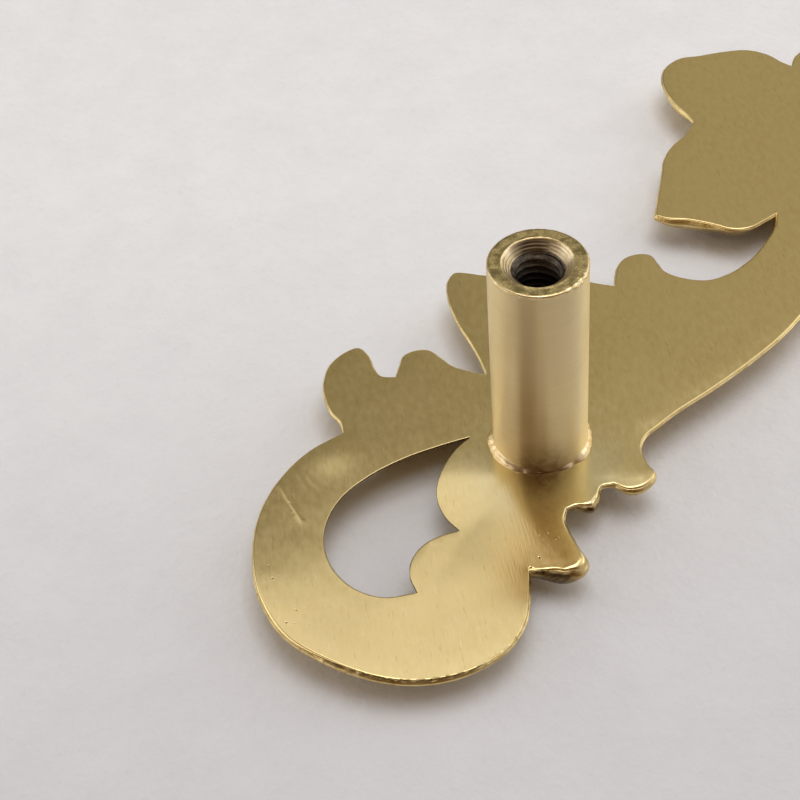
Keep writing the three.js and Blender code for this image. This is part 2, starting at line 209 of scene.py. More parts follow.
RIBS = [
    [(-12, 2.2), (-14.4, 6), (-16, 10.3)],
    [(-7, 3.4), (-8.6, 7), (-9.5, 10.2)],
    [(-2, 3.9), (-3, 11), (-4.6, 19.4)],
    [(3.4, 3.7), (3.4, 11), (3.6, 17.6)],
    [(8.6, 4.9), (11, 12), (11.6, 19.8)],
    [(14, 7.8), (16.4, 11.6), (17.6, 15.4)],
    [(5, 3.8), (6, 0.4), (7.4, -4.6)],
    [(-4, 3.8), (-5.4, -3), (-4.4, -9.4), (0, -12.8)],
    [(30.8, 26.6), (24.5, 30), (17, 29)],
    [(31.6, 29), (25.6, 34), (18.4, 34.6)],
    [(32.4, 31.4), (25.8, 38.6), (20.6, 46.4)],
    [(33, 33), (28, 42), (24, 49.6)],
    [(33.8, 36), (30.8, 43), (28.6, 49.6)],
]

GROOVES = [
    [SECOND_LOBE_NOTCH, (-11, 6.4), (-9.4, 4.6)],
    [THIRD_LOBE_NOTCH, (-4.6, 6.6), (-5, 5.6)],
    [(0.4, 20.6), (0.4, 13), (0.8, 6.4)],
    [FOURTH_LOBE_NOTCH, (7.6, 12), (6.2, 6.6)],
    [(14.6, 18.6), (13.4, 14), (11.6, 9)],
    [FROND_NOTCH, (25, 36.6), (30, 31.6)],
    [FROND_CORNER, (20, 27.6), (26, 27.6)],
    [LAST_LOBE_NOTCH, (32, 44.4), (32, 40)],
    [EYE_NOTCH, (-5.6, -10.6), BULB_NOTCH],
]

# Where the edge is thicker: place, how far that reaches, thickness
THICK_EDGES = [
    (SCROLL_BOTTOM, 7, 0.95),
    ((-18.5, -21.2), 3.5, 0.7),
    (BULB_TIP, 2.8, 1.9),
    (FOOT_LOBE_EDGE, 1.6, 1.1),
    (CURL_EDGE, 2.2, 1),
    (FROND_UNDERSIDE, 3.2, 1.2),
    (FROND_SIDE, 2.6, 0.9),
]

# Where the edge of the back is worn rounder: place, how far that reaches, radius
WORN_EDGES = [
    ((1.7, -13.6), 1.3, 0.55),
    ((-0.9, -14.0), 1.2, 0.2),
    ((1.2, -10.2), 1.6, 0.2),
    (FOOT_LOBE_EDGE, 1.3, 0.3),
    ((-22.6, -17.0), 4.6, 0.32),
    (CURL_EDGE, 2.0, 0.2),
    ((20, 18.5), 6, 0.16),
    ((19.5, 50), 3, 0.18),
    ((20, 7.2), 14, 0.14),
]

# Where a crease runs under the edge of the back, and where the edge is lumpy: place, reach, share.
# The sides below the lumps get painted shade.
CREASES = [(SCROLL_BOTTOM, 5.5, 1), ((-17.5, -21.8), 3.2, 0.8), ((-4.5, -20.6), 3.5, 0.8)]
LUMPS = [((-1.1, -14), 1.4, 1), ((0.5, -14.6), 1.1, 0.6), (FOOT_LOBE_EDGE, 1.2, 0.9),
         ((1.6, -7.9), 0.8, 0.6)]

# Pits in the back: place, radius, depth
PITS = [
    ((-2.4, -13.6), 0.14, 0.16),
    ((-1.6, -12.7), 0.11, 0.1),
    ((-23.0, -12.5), 0.09, 0.06),
    ((-22.0, -17.0), 0.09, 0.06),
    ((-23.3, -11.2), 0.07, 0.05),
    ((-21.2, -15.9), 0.07, 0.05),
]

# The near end of the scroll sinks from this line on: the line, the slope beyond it, the depth and
# width of its shoulder, how gradually it starts, and how it fades towards the left
BEND = [(-30, -9), (-20, -9), (-13, -3.9), (-7, -4.1), (-3.4, -4.6), (-0.9, -10.6), (0.6, -12.4),
        (1.0, -14.5)]
BEND_SLOPE = 0.02
BEND_SHOULDER = 0.28
BEND_REACH = 2.6
BEND_BLEND = (0.35, 0.95)
BEND_FADE = (-13.5, 2.2)

# Low swellings of the back: place, radius, height
SWELLINGS = [
    ((-17.9, 0.9), 2.3, 0.084),
    ((-24.5, -13.5), 4.6, 0.06),
]

# Fine raised scratches on the back: ends, half width, rise
SCRATCHES = [
    ((-22.25, -2.5), (-21.3, -4.9), 0.12, 0.022),
    ((-21.3, -4.9), (-20.5, -6.7), 0.1, 0.014),
    ((-20.7, -1.5), (-19.9, -3.3), 0.12, 0.006),
    ((-20.0, -1.6), (-19.3, -3.0), 0.12, 0.005),
]

# Fields of fine pits: middle, spread, number
PIT_FIELDS = [
    ((-22.9, -12.6), 1.1, 22),
    ((-21.3, -16.2), 0.9, 12),
    ((-1.0, -10.8), 1.0, 14),
]

# A paler, greener tint of the back to the front of the post, where the post shows in it: azimuth
# and reach in degrees, start and reach beyond the post, and how far down the edge
FRONT_TINT = (-85, 62, 0.5, 3.6)
FRONT_TINT_DEPTH = 0.6

# Brown on the back in front of the post, brazing stains and painted shade that darkens the post's
# reflection there: place, reach, strength
STAINS_AND_PAINTED_SHADE = [
    ((0.2, -8.4), 2.0, 0.5),
    ((1.2, -11.2), 1.3, 0.5),
    ((-0.5, -5.0), 1.4, 0.9),
]

# The photograph's camera: focal length and place of the post's foot in pixels of the 800 pixel
# frame, its distance in millimetres, and how far the camera looks down and leans
FOCAL = 1825.3
FOOT_PIXEL = (540.16, 437.57)
FOOT_DEPTH = 154.746
PITCH_DOWN = math.radians(46.11)
LEAN = math.radians(5.303)
FRAME_PIXELS = 800
SENSOR = 36

# Felt: its colour near the camera and far from it, and from where to where it changes, in metres
# along the drawing's y axis. The change is painted shade, darker towards the camera.
FELT_NEAR_SHADED = (0.705, 0.705, 0.73)
FELT_FAR_LIT = (0.88, 0.88, 0.895)
FELT_SHADE_REACH = (-0.046, 0.026)

# The studio: a bright tent that turns into a dark and warm side behind the camera's left, with a
# darker and warmer gap beyond the knob, up to GAP_RISE above the drawing's y axis. A shade says
# from which to which cosine of the angle from its direction it grows
TENT_COLOR = (0.965, 0.965, 0.985)
DARK_AZIMUTH = math.radians(-159)
DARK_SIDE = (math.sin(DARK_AZIMUTH), math.cos(DARK_AZIMUTH), 0)
DARK_COLOR = (0.175, 0.1, 0.04)
DARK_SHADE = (-0.64, 0.68)
GAP_COLOR = (0.41, 0.383, 0.305)
GAP_RISE = math.radians(51.1)
GAP_BLEND = 0.026
GAP_LEFT_SHADE = (0.02, 0.11, 0.66)
# What the camera itself sees behind the floor
SEEN_COLOR = (0.9, 0.9, 0.91)

# Soft lights: direction of the drawing, size in metres, radiance
LAMP_DISTANCE = 0.7
LAMPS = {
    "key": ((0.86, 0.37, 0.36), (0.7, 0.28), 1.15),
    "fill": ((-0.94, -0.03, 0.34), (1.1, 0.34), 1.35),
    "top": ((0.08, 0.02, 1), (0.55, 0.42), 2.4),
}

FLOOR_HALF = 1.2


def spline(through, step):
    """Points about one step apart on the smooth curve through the given ones."""
    p = np.array(through, float)
    p = np.vstack([2 * p[0] - p[1], p, 2 * p[-1] - p[-2]])
    t = np.linspace(0, 1, 24, endpoint=False)[:, None]
    pieces = []
    for i in range(1, len(p) - 2):
        p0, p1, p2, p3 = p[i - 1:i + 3]
        d0, d1, d2 = (np.linalg.norm(b - a) ** 0.5 for a, b in ((p0, p1), (p1, p2), (p2, p3)))
        m1 = d1 * ((p1 - p0) / d0 - (p2 - p0) / (d0 + d1) + (p2 - p1) / d1)
        m2 = d1 * ((p2 - p1) / d1 - (p3 - p1) / (d1 + d2) + (p3 - p2) / d2)
        pieces.append((2 * t ** 3 - 3 * t ** 2 + 1) * p1 + (t ** 3 - 2 * t ** 2 + t) * m1
                      + (3 * t ** 2 - 2 * t ** 3) * p2 + (t ** 3 - t ** 2) * m2)
    fine = np.vstack(pieces + [p[-2:-1]])
    along = np.r_[0, np.cumsum(np.linalg.norm(np.diff(fine, axis=0), axis=1))]
    at = np.linspace(0, along[-1], max(2, round(along[-1] / step)) + 1)
    return np.stack([np.interp(at, along, fine[:, k]) for k in (0, 1)], 1)


def closed_loop(curves, step):
    return np.vstack([spline(list(curve) + [curves[(i + 1) % len(curves)][0]], step)[:-1]
                      for i, curve in enumerate(curves)])


def segments(points, closed=False):
    ends = np.roll(points, -1, axis=0) if closed else points[1:]
    return list(zip(points[:len(ends)], ends))


def distance(points, segs):
    """Distance from each point to the nearest segment."""
    least = np.full(len(points), np.inf)
    for a, b in segs:
        ab = b - a
        t = np.clip((points - a) @ ab / (ab @ ab), 0, 1)
        off = points - a - t[:, None] * ab
        least = np.minimum(least, (off ** 2).sum(1))
    return np.sqrt(least)


def inside(points, loop):
    x, y = points.T
    result = np.zeros(len(points), bool)
    for a, b in segments(loop, closed=True):
        if a[1] == b[1]:
            continue
        crosses = (a[1] > y) != (b[1] > y)
        result ^= crosses & (x < a[0] + (b[0] - a[0]) * (y - a[1]) / (b[1] - a[1]))
    return result


def hump(away, half_width):
    return np.exp(-(away / half_width) ** 2)


def smooth_min(a, b, blend):
    overlap = np.maximum(blend - np.abs(a - b), 0) / blend
    return np.minimum(a, b) - overlap ** 2 * blend / 4


def spots(points, base, places):
    """A value that is base everywhere and changes around the given places."""
    value = np.full(len(points), float(base))
    for at, reach, peak in places:
        value += (peak - base) * hump(np.linalg.norm(points - np.array(at), axis=1), reach)
    return value


def bumps(points, size, seed):
    """Smooth random heights from about -0.5 to 0.5 with hollows and bumps of the given size."""
    return np.array([noise.noise(Vector((x / size, y / size, seed))) for x, y in points[:, :2]])


def bumps_in_space(points, size, shift=0.0):
    """Smooth random heights too, for points in space."""
    away = Vector((shift, shift, shift))
    return np.array([noise.noise(Vector(p) / size + away) for p in points])


outer_loop = closed_loop(OUTER_CURVES, RIM_STEP)
eye_loop = closed_loop(EYE_CURVES, RIM_STEP)
eye_segments = segments(eye_loop, True)
outline_segments = segments(outer_loop, True) + eye_segments
stem_segments = segments(spline(STEM, 0.7))
rib_segments = [s for rib in RIBS for s in segments(spline(rib, 0.7))]
groove_segments = [s for groove in GROOVES for s in segments(spline(groove, 0.7))]


def turn_drawn(points):
    c, s = math.cos(DRAWN_ANGLE), math.sin(DRAWN_ANGLE)
    return np.stack([points[:, 0] * c + points[:, 1] * s, points[:, 1] * c - points[:, 0] * s], 1)


post_low, post_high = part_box("threaded_post")
leaf_low, leaf_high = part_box("leaf_casting")
POST_AXIS = np.array([(post_low.x + post_high.x) / 2, (post_low.y + post_high.y) / 2])
BACK_HEIGHT = post_low.z
drawn_box = np.ptp(turn_drawn(outer_loop), axis=0)
STRETCH = np.array([leaf_high.x - leaf_low.x, leaf_high.y - leaf_low.y]) / MM / drawn_box


def to_frame(points):
    """Drawn points in millimetres, as places in the frame in metres."""
    plan = turn_drawn(points[:, :2]) * STRETCH * MM + POST_AXIS
    return np.column_stack([plan, points[:, 2] * MM + BACK_HEIGHT])


def make_piece(name, points, faces, slots, materials):
    mesh = bpy.data.meshes.new(name)
    mesh.from_pydata(to_frame(points).tolist(), [], [list(map(int, f)) for f in faces])
    for material in materials:
        mesh.materials.append(material)
    mesh.polygons.foreach_set("material_index", np.array(slots, np.int32))
    mesh.polygons.foreach_set("use_smooth", np.ones(len(faces), bool))
    mesh.validate()
    piece = bpy.data.objects.new(name, mesh)
    bpy.context.scene.collection.objects.link(piece)
    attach(piece, "root")
    return piece


def set_value(piece, name, values):
    """Gives each point a number that the piece's materials read."""
    attribute = piece.data.attributes.new(name, "FLOAT", "POINT")
    attribute.data.foreach_set("value", np.asarray(values, np.float32))


# Leaf

def edge_thickness(points):
    thinner = hump(distance(points, eye_segments), 1.2) * (EDGE_THICKNESS - EYE_EDGE_THICKNESS)
    return spots(points, EDGE_THICKNESS, THICK_EDGES) - thinner


def leaf_front(points):
    """Thickness of the leaf, and how deep each point lies in its carving."""
    from_outline = distance(points, outline_segments)
    slope = np.where(distance(points, eye_segments) < from_outline + 0.01, EYE_SLOPE, BEVEL_SLOPE)
    from_stem = distance(points, stem_segments)
    from_ribs = distance(points, rib_segments)
    stem = hump(from_stem, STEM_HALF_WIDTH)
    rib = hump(from_ribs, RIB_HALF_WIDTH)
    groove = hump(distance(points, groove_segments), GROOVE_HALF_WIDTH)
    front = FIELD_THICKNESS + (CROWN_THICKNESS - FIELD_THICKNESS) * stem
    front += (RIB_RISE * rib - GROOVE_DEPTH * groove) * (1 - stem)
    vein = hump(from_ribs - VEIN_FROM_RIB, 0.3) * (1 - stem)
    vein += 0.8 * hump(from_stem - VEIN_FROM_STEM, 0.35)
    front -= VEIN_DEPTH * vein * (1 - 0.7 * groove)
    thickness = smooth_min(edge_thickness(points) + slope * from_outline, front, BLEND)
    thickness += SKIN_HEIGHT * bumps(points, SKIN_SIZE, 7.7) * np.minimum(from_outline, 1)
    thickness = np.minimum(thickness, CROWN_THICKNESS)
    depth = np.clip(0.75 * groove + 0.5 * vein - 0.2 * stem - 0.2 * rib, 0, 1)
    return thickness + sunk(points) * (1 - thickness / CROWN_THICKNESS), depth


def sunk(points):
    """How far the back has sunk near the camera, where the casting is bent."""
    line = np.array(BEND, float)
    corners = np.array([[line[-1, 0], -40], [line[0, 0], -40]])
    past = distance(points, segments(line))
    past = np.where(inside(points, np.vstack([line, corners])), past, -past)
    sharp, soft = BEND_BLEND
    blend = soft + (sharp - soft) / (1 + np.exp(-(points[:, 0] + 4.6) / 0.7))
    past = blend * np.logaddexp(0, past / blend)
    middle, width = BEND_FADE
    share = 1 / (1 + np.exp((middle - points[:, 0]) / width))
    return (BEND_SLOPE * past + BEND_SHOULDER * np.tanh(past / BEND_REACH)) * share


def back_height(points):
    """The back's departures from flat, left by the bend and by the grinding."""
    height = 0.03 * bumps(points, 9, 3.3) + 0.008 * bumps(points, 3, 5.1) - sunk(points)
    for at, radius, rise in SWELLINGS:
        height += rise * hump(np.linalg.norm(points - np.array(at), axis=1), radius)
    rolled = 0.025 + 0.03 * bumps(points, 5, 8.8)
    rolled *= 1 - 0.8 * hump(distance(points, eye_segments), 2.5)
    return height - rolled * np.exp(-distance(points, outline_segments) / 0.7)


def inward(loop):
    """Directions from the points of a loop into the leaf."""
    along = np.roll(loop, -1, axis=0) - np.roll(loop, 1, axis=0)
    along /= np.linalg.norm(along, axis=1)[:, None]
    return np.stack([-along[:, 1], along[:, 0]], 1)


def lattice(step):
    """Evenly spaced points of the leaf's plan, in rows of triangles."""
    low, high = outer_loop.min(0), outer_loop.max(0)
    row = step * math.sin(math.pi / 3)
    points = [(low[0] + (i + (j % 2) / 2) * step, low[1] + j * row)
              for j in range(int((high[1] - low[1]) / row) + 2)
              for i in range(int((high[0] - low[0]) / step) + 2)]
    points = np.array(points)
    return points[inside(points, outer_loop) & ~inside(points, eye_loop)]


def triangulate(loops, inner):
    """Triangles over the plan between the loops, as indices into the loops and then inner."""
    points = np.vstack(loops + [inner])
    edges, start = [], 0
    for loop in loops:
        edges += [(start + i, start + (i + 1) % len(loop)) for i in range(len(loop))]
        start += len(loop)
    made = delaunay_2d_cdt([Vector(p) for p in points.tolist()], edges, [], 1, 1e-6)
    faces = np.array([[made[3][v][0] for v in face] for face in made[2]])
    middles = points[faces].mean(1)
    kept = faces[inside(middles, loops[0]) & ~inside(middles, loops[1])]
    a, b, c = (points[kept[:, k]] for k in range(3))
    turned = (b[:, 0] - a[:, 0]) * (c[:, 1] - a[:, 1]) < (b[:, 1] - a[:, 1]) * (c[:, 0] - a[:, 0])
    kept[turned] = kept[turned][:, ::-1]
    return kept


def scattered_pits():
    random = np.random.default_rng(11)
    pits = []
    for middle, spread, number in PIT_FIELDS:
        for x, y in random.normal(middle, spread, (number, 2)):
            radius = random.uniform(0.03, 0.06)
            near = [at for at, _, _ in pits if math.dist(at, (x, y)) < 0.3]
            clear = distance(np.array([[x, y]]), outline_segments)[0] > 0.4
            if clear and not near and inside(np.array([[x, y]]), outer_loop)[0]:
                pits.append(((x, y), radius, 0.25 * radius))
    return pits


def edge_rows(rim, in_eye):
    """Rows of the leaf's edge, from its back round and down to its front: how far each lies inside
    the outline and below the back's plane, and its darkening: dirt in the crease and its crevices,
    and painted shade round the eye and down the sides below the lumps."""
    edge = edge_thickness(rim)
    worn = spots(rim, WORN, WORN_EDGES) - EYE_SHARPER * in_eye
    creased = np.clip(spots(rim, 0, CREASES), 0, 1)
    lumpy = np.clip(spots(rim, 0, LUMPS), 0, 1)
    height = back_height(rim)
    low = sunk(rim) * (1 - edge / CROWN_THICKNESS)
    coarse, fine = (bumps_in_space(np.column_stack([rim, np.full(len(rim), z)]), size)
                    for z, size in ((4.2, 0.45), (7.1, 0.21)))
    ragged = 2.1 * lumpy * np.clip(worn - 0.1, 0, 0.3) * (coarse + 0.25 * fine)

    clean = np.zeros(len(rim))
    rows = [(worn + 0.1, -height, clean), (worn + 0.015, -height, clean)]
    # The roll gets painted shade round the eye, and darkens where it is ragged
    for turn in np.radians(ROLL_TURNS):
        rows.append((worn * (1 - math.sin(turn)) + 0.5 * ragged * math.sin(turn),
                     worn * (1 - math.cos(turn)) - height + 0.6 * ragged * math.sin(2 * turn),
                     0.85 * in_eye + 1.2 * np.clip(ragged, 0, 1)))
    side = edge - worn
    for s in SIDE_SHARES:
        depth = worn + low + side * s
        solid = np.column_stack([rim, depth])
        knobs = bumps_in_space(solid, 0.8)
        pitting = bumps_in_space(solid, 0.28, 5)
        bulge = (0.05 + 0.16 * edge + 0.06 * creased) * math.sin(math.pi * s) ** 1.5
        bulge *= 1 - 0.9 * in_eye
        crease = creased * np.clip(0.75 + 2.4 * pitting, 0, 1) * hump(s - 0.15, 0.12)
        crevice = lumpy * np.clip(0.1 + 1.8 * pitting, 0, 1) * (1 - 0.8 * s)
        fade = min(1, s / 0.08)
        inset = (0.24 * crease - bulge - (0.07 * lumpy + 0.05) * knobs * (1 - s) * fade
                 + 0.1 * crevice * fade + 0.5 * ragged * (1 - s))
        # Dirt in the crease and crevices; painted shade round the eye and down the sides below the
        # lumps
        patina_and_shade = 1.4 * crease + 0.9 * crevice + 0.85 * in_eye + 0.85 * lumpy * min(1, 3 * s)
        rows.append((inset, depth, np.clip(patina_and_shade, 0, 1)))
    return rows


def back_lattice(top_segments):
    """An even lattice over the back with its scratches and pits, and how deep each point is."""
    inner = lattice(BACK_STEP)
    inner = inner[distance(inner, top_segments) > 0.6 * BACK_STEP]
    depth = np.zeros(len(inner))
    for start, end, half_width, rise in SCRATCHES:
        start, end = np.array(start), np.array(end)
        length = np.linalg.norm(end - start)
        across = np.array([start[1] - end[1], end[0] - start[0]]) / length * half_width
        line = start + np.linspace(0, 1, int(length / 0.15))[:, None] * (end - start)
        kept = distance(inner, [(start, end)]) > 2 * half_width
        inner = np.vstack([inner[kept], line + across, line, line - across])
        depth = np.r_[depth[kept], np.zeros(len(line)), np.full(len(line), -rise),
                      np.zeros(len(line))]
    turns = np.linspace(0, 2 * math.pi, 8, endpoint=False)
    for at, radius, deep in PITS + scattered_pits():
        kept = np.linalg.norm(inner - np.array(at), axis=1) > 1.5 * radius
        ring = np.stack([np.cos(turns), np.sin(turns)], 1) * radius
        inner = np.vstack([inner[kept], at + 1.25 * ring, at + ring, at + 0.5 * ring, [at]])
        depth = np.r_[depth[kept], np.zeros(16), np.full(8, 0.8 * deep), deep]
    return inner, depth


def leaf_piece(materials):
    back_slot, edge_slot, front_slot = range(3)
    rim = np.vstack([outer_loop, eye_loop])
    into = np.vstack([inward(outer_loop), inward(eye_loop)])
    count, outer_count = len(rim), len(outer_loop)
    in_eye = np.r_[np.zeros(outer_count), np.ones(count - outer_count)]
    rows = edge_rows(rim, in_eye)
    points = [np.column_stack([rim + into * inset[:, None], -depth]) for inset, depth, _ in rows]
    faces, slots = [], []
    # The roll of the outer edge is as bright as the back, down to its third row
    for start, length, bright_rows in ((0, outer_count, 4), (outer_count, count - outer_count, 2)):
        for r in range(len(rows) - 1):
            for i in range(length):
                j = (i + 1) % length
                upper, lower = r * count + start, (r + 1) * count + start
                faces.append((lower + i, lower + j, upper + j, upper + i))
                slots.append(back_slot if r < bright_rows else edge_slot)

    # Back
    top = points[0][:, :2]
    top_loops = [top[:outer_count], top[outer_count:]]
    on_back, pitted = back_lattice([s for loop in top_loops for s in segments(loop, True)])
    made = triangulate(top_loops, on_back)
    back_start = len(rows) * count
    lookup = np.r_[np.arange(count), back_start + np.arange(len(on_back))]
    faces += lookup[made].tolist()
    slots += [back_slot] * len(made)
    points.append(np.column_stack([on_back, back_height(on_back) - pitted]))

    # Front
    inner = lattice(FRONT_STEP)
    inner = inner[distance(inner, outline_segments) > FRONT_INSET]
    inner = np.vstack([rim + into * inset for inset in FRONT_ROWS] + [inner])
    thickness, carved = leaf_front(inner)
    made = triangulate([outer_loop, eye_loop], inner)
    last_row = back_start - count
    front_start = back_start + len(on_back)
    lookup = np.r_[last_row + np.arange(count), front_start + np.arange(len(inner))]
    faces += lookup[made][:, ::-1].tolist()
    slots += [front_slot] * len(made)
    points.append(np.column_stack([inner, -thickness]))

    everything = np.vstack(points)
    piece = make_piece("leaf_casting_fine", everything, faces, slots, materials)
    patina_and_shade = np.zeros(len(everything))
    # Dirt and painted shade along the edges, brazing stains and painted shade on the back, patina
    # in the carving
    patina_and_shade[:back_start] = np.hstack([dark for _, _, dark in rows])
    patina_and_shade[back_start:front_start] = np.clip(spots(on_back, 0, STAINS_AND_PAINTED_SHADE), 0, 1)
    patina_and_shade[front_start:] = carved
    set_value(piece, "patina_and_shade", patina_and_shade)
    pits = np.zeros(len(everything))
    pits[back_start:front_start] = np.clip(40 * np.maximum(pitted, 0), 0, 1)
    set_value(piece, "pits", pits)
    # A paler, greener tint of the back in front of the post
    at, turn_reach, begin, reach = FRONT_TINT
    from_post = np.linalg.norm(everything[:, :2], axis=1) - POST_RADIUS - begin
    front_tint = hump(from_post, reach) * hump(around_from(everything, at), math.radians(turn_reach))
    set_value(piece, "front_tint", front_tint * (everything[:, 2] > -FRONT_TINT_DEPTH))
    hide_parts("leaf_casting")
    return piece


# Post and bead

def revolve(rows, sides):
    """Quads between rows that go round an axis, each of as many points as there are sides."""
    faces = []
    for r in range(len(rows) - 1):
        for i in range(sides):
            j = (i + 1) % sides
            faces.append((r * sides + i, r * sides + j, (r + 1) * sides + j, (r + 1) * sides + i))
    return faces


def turned_rows(turns):
    """Rows of the post from the middle of its foot up and then down its bore: points, and the slot
    of the faces between each row and the one before."""
    body, end, thread, mouth, rim = range(5)
    around = np.stack([np.cos(turns), np.sin(turns)], 1)
    at, reach = BURR
    gap = np.abs((turns - math.radians(at) + math.pi) % (2 * math.pi) - math.pi)
    burr = hump(gap, math.radians(reach)) * (0.6 + bumps(around * POST_RADIUS, 0.35, 2.2) * 2.4)
    burr += 0.3 * bumps(around * POST_RADIUS, 0.3, 9.1)
    burr += 0.25 * bumps(around * POST_RADIUS, 1.1, 0.4)
    rows = []

    def row(radius, height, slot=None):
        r = radius + np.zeros(len(turns))
        rows.append((np.column_stack([around * r[:, None], height + np.zeros(len(turns))]), slot))

    # Foot and side
    row(POST_RADIUS * 0.5, 0)
    row(POST_RADIUS, 0, body)
    for height in POST_ROWS:
        row(POST_RADIUS, height, body)

    # Rim with its burr, end and the edge of the mouth
    row(POST_RADIUS + 0.02 * burr, POST_LENGTH - POST_CHAMFER - 0.2, body)
    row(POST_RADIUS + 0.08 * burr, POST_LENGTH - POST_CHAMFER - 0.08, body)
    row(POST_RADIUS + 0.04 * burr, POST_LENGTH - POST_CHAMFER + 0.02, rim)
    row(POST_RADIUS - 0.4 * POST_CHAMFER - 0.04 * burr, POST_LENGTH - 0.35 * POST_CHAMFER, rim)
    row(POST_RADIUS - POST_CHAMFER - 0.1 * burr, POST_LENGTH - 0.05 * np.abs(burr), rim)
    for share in (0.15, 0.4, 0.65, 0.9):
        radius = POST_RADIUS - POST_CHAMFER + share * (MOUTH_RADIUS - POST_RADIUS + POST_CHAMFER)
        row(radius, POST_LENGTH + 0.03 * bumps(around * radius, 0.5, 4.4) - 0.01, end)
    row(MOUTH_RADIUS + 0.06, POST_LENGTH, end)
    row(MOUTH_RADIUS + 0.01, POST_LENGTH - 0.02, rim)
    row(MOUTH_RADIUS - MOUTH_RUB, POST_LENGTH - MOUTH_RUB_DEPTH, rim)

    # Mouth with the ridges of its countersinking
    for share in np.linspace(0, 1, MOUTH_ROWS + 1)[1:]:
        height = POST_LENGTH - MOUTH_RUB_DEPTH - share * (MOUTH_DEPTH - MOUTH_RUB_DEPTH)
        cone = MOUTH_RADIUS - MOUTH_RUB + share * (MOUTH_FLOOR_RADIUS - MOUTH_RADIUS + MOUTH_RUB)
        ridge = np.sin(2 * math.pi * height / MOUTH_RIDGE - turns)
        ridge = ridge + 2 * bumps(around * cone, 0.7, 3.1)
        row(cone + 0.026 * share ** 0.5 * (1 - share ** 8) * ridge, height, mouth)

    # Thread and the blind end of the bore
    thread_end = POST_LENGTH - BORE_DEPTH + THREAD_RUNOUT
    step = PITCH / THREAD_ROWS
    for k in range(1, int((THREAD_TOP - thread_end) / step)):
        height = THREAD_TOP - k * step
        wave = np.abs(((height / PITCH - turns / (2 * math.pi)) % 1) * 2 - 1)
        wave = np.clip((wave - THREAD_CREST) / THREAD_FLANK, 0, 1)
        radius = CORE_RADIUS + (ROOT_RADIUS - CORE_RADIUS) * wave
        start = min(k * step / THREAD_LEAD, 1)
        lead = MOUTH_FLOOR_RADIUS * (1 - start) + CORE_RADIUS * start
        row(np.maximum(radius, lead), height, thread)
    row(CORE_RADIUS, thread_end - 0.1, thread)
    row(CORE_RADIUS, POST_LENGTH - BORE_DEPTH, thread)
    row(0.02, POST_LENGTH - BORE_DEPTH - DRILL_TIP, thread)
    return rows


def post_piece(materials):
    rows = turned_rows(np.linspace(0, 2 * math.pi, POST_SIDES, endpoint=False))
    faces = revolve(rows, POST_SIDES)
    slots = [slot for _, slot in rows[1:] for _ in range(POST_SIDES)]
    points = np.vstack([made for made, _ in rows])
    piece = make_piece("threaded_post_fine", points, faces, slots, materials)

    # Painted shade: brown at the front of the foot, on the far side of the mouth and deeper in the
    # mouth and the thread
    height, radius = points[:, 2], np.linalg.norm(points[:, :2], axis=1)
    patina_and_shade = foot_painted_shade(points) * (height < 5)
    mouth = (radius < MOUTH_RADIUS - 0.05) & (height > THREAD_TOP - 0.01)
    # Painted shade on the far side of the mouth, deepening downwards
    at, reach = MOUTH_PAINTED_SHADE
    mouth_shade = hump(around_from(points, at), math.radians(reach))
    patina_and_shade[mouth] = (mouth_shade + 0.2 * (POST_LENGTH - height) / MOUTH_DEPTH)[mouth]
    # Painted shade deepening into the thread
    thread = (radius < ROOT_RADIUS + 0.01) & (height < THREAD_TOP)
    patina_and_shade[thread] = ((THREAD_TOP - height) / THREAD_SHADE_DEPTH)[thread]
    set_value(piece, "patina_and_shade", np.clip(patina_and_shade, 0, 1))
    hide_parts("threaded_post")
    return piece


def around_from(points, at):
    """How far round the post points lie from an azimuth in degrees."""
    turn = np.arctan2(points[:, 1], points[:, 0]) - math.radians(at)
    return np.abs((turn + math.pi) % (2 * math.pi) - math.pi)


def foot_painted_shade(points):
    """Brown painted as shade at the front of the post's foot, where it shows a dark reflection."""
    at, reach, height = FOOT_PAINTED_SHADE
    away = around_from(points, at)
    return hump(away, math.radians(reach)) * hump(np.maximum(points[:, 2], 0), height)


def bead_piece(material):
    turns = np.linspace(0, 2 * math.pi, BEAD_SIDES, endpoint=False)
    around = np.stack([np.cos(turns), np.sin(turns)], 1)
    lump = bumps(around * POST_RADIUS, 1.6, 6.1)
    fine = bumps(around * POST_RADIUS, 0.6, 8.3)
    full = sum(share * hump(np.abs((turns - math.radians(at) + math.pi) % (2 * math.pi) - math.pi),
                            math.radians(reach)) for at, reach, share in BEAD_FULLNESS)
    width, height = (thin + gain * full + 0.2 * lump + 0.12 * fine
                     for thin, gain in zip(BEAD_THIN, BEAD_GAIN))
    rows = [np.column_stack([around * (POST_RADIUS - 0.02), np.zeros(BEAD_SIDES)])]
    for share in BEAD_SHARES:
        # Slightly full in the middle, thin at both of its edges
        middle = math.sin(math.pi * share)
        out = width * (1 - share) ** 1.25 + 0.16 * middle ** 1.5 * width
        up = height * share ** 1.25 + 0.12 * middle ** 1.5 * height
        wobble = 0.06 * bumps(around * (POST_RADIUS + share), 0.35, 3.9) * middle
        rows.append(np.column_stack([around * (POST_RADIUS - 0.01 + out + wobble)[:, None], up]))
    rows.append(rows[0] + [0, 0, 0.3])
    points = np.vstack(rows)
    # The last row joins the first
    faces = [[v % len(points) for v in face] for face in revolve(rows + rows[:1], BEAD_SIDES)]
    piece = make_piece("braze_bead_fine", points, faces, [0] * len(faces), [material])
    # Painted shade at the front of the bead, as at the post's foot
    set_value(piece, "patina_and_shade", foot_painted_shade(points * [1, 1, 0]))
    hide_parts("braze_bead")
    return piece


# Materials

